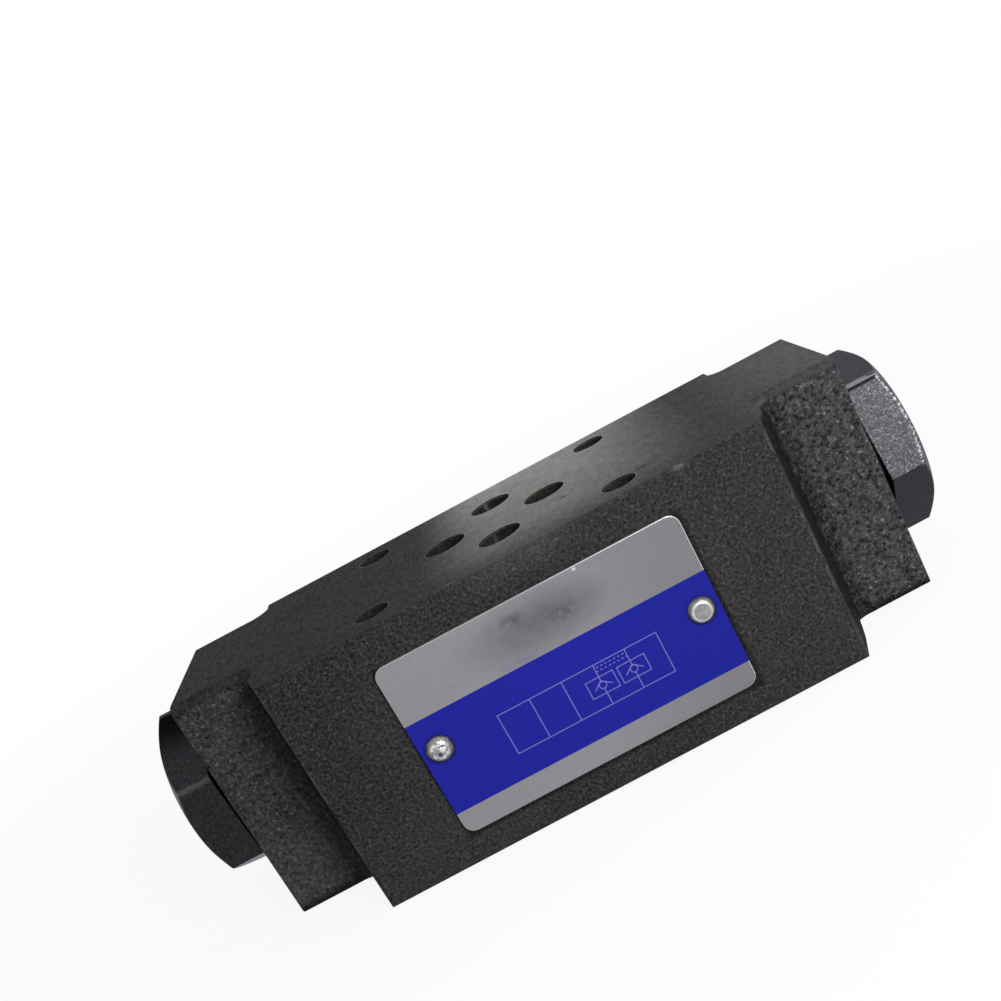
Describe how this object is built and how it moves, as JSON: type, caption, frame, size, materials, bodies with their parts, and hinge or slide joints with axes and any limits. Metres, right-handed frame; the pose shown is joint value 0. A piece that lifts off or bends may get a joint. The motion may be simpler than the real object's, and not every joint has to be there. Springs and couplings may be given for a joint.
{
  "type": "hydraulic sandwich valve",
  "caption": "Stepped iron sandwich-plate valve with ports and bolt holes through its flat faces, hex plugs on a cross bore that holds sprung check poppets, and a riveted nameplate.",
  "frame": {"origin": "on the underside with the seal rings, on the P-T line, at the middle of the port pattern", "axes": "+X along the cross bore towards port B, -Y towards the nameplate, +Z out of the top face"},
  "size_m": [0.127, 0.0476, 0.04],
  "materials": {
    "body_iron": "black phosphate, machined in the middle and as cast at the ends",
    "plug_steel": "black oxide",
    "ground_steel": "ground",
    "spring_steel": "drawn wire",
    "seal_rubber": "smooth moulded",
    "plate_aluminium": "brushed, with a printed blue band",
    "rivet_aluminium": "bright"
  },
  "bodies": {
    "valve": {"valve_body": "body_iron", "seat_sleeve_left": "ground_steel", "seat_sleeve_right": "ground_steel", "seat_o_ring_left": "seal_rubber", "seat_o_ring_right": "seal_rubber", "poppet_spring_left": "spring_steel", "poppet_spring_right": "spring_steel", "end_plug_left": "plug_steel", "end_plug_right": "plug_steel", "plug_o_ring_left": "seal_rubber", "plug_o_ring_right": "seal_rubber", "port_o_ring_p": "seal_rubber", "port_o_ring_t": "seal_rubber", "port_o_ring_a": "seal_rubber", "port_o_ring_b": "seal_rubber", "nameplate": "plate_aluminium", "drive_rivets": "rivet_aluminium"},
    "pilot": {"pilot_piston": "ground_steel"},
    "left_poppet": {"check_poppet_left": "ground_steel"},
    "right_poppet": {"check_poppet_right": "ground_steel"}
  },
  "joints": [
    {"name": "pilot_slide", "type": "slide", "parent": "valve", "child": "pilot", "axis": [1, 0, 0], "range_m": [-0.0015, 0.0015]},
    {"name": "left_poppet_lift", "type": "slide", "parent": "valve", "child": "left_poppet", "axis": [-1, 0, 0], "range_m": [0, 0.0035], "stiffness_N_per_m": 2000, "springref_m": -0.0033, "deforming": ["poppet_spring_left"]},
    {"name": "right_poppet_lift", "type": "slide", "parent": "valve", "child": "right_poppet", "axis": [1, 0, 0], "range_m": [0, 0.0035], "stiffness_N_per_m": 2000, "springref_m": -0.0033, "deforming": ["poppet_spring_right"]}
  ]
}
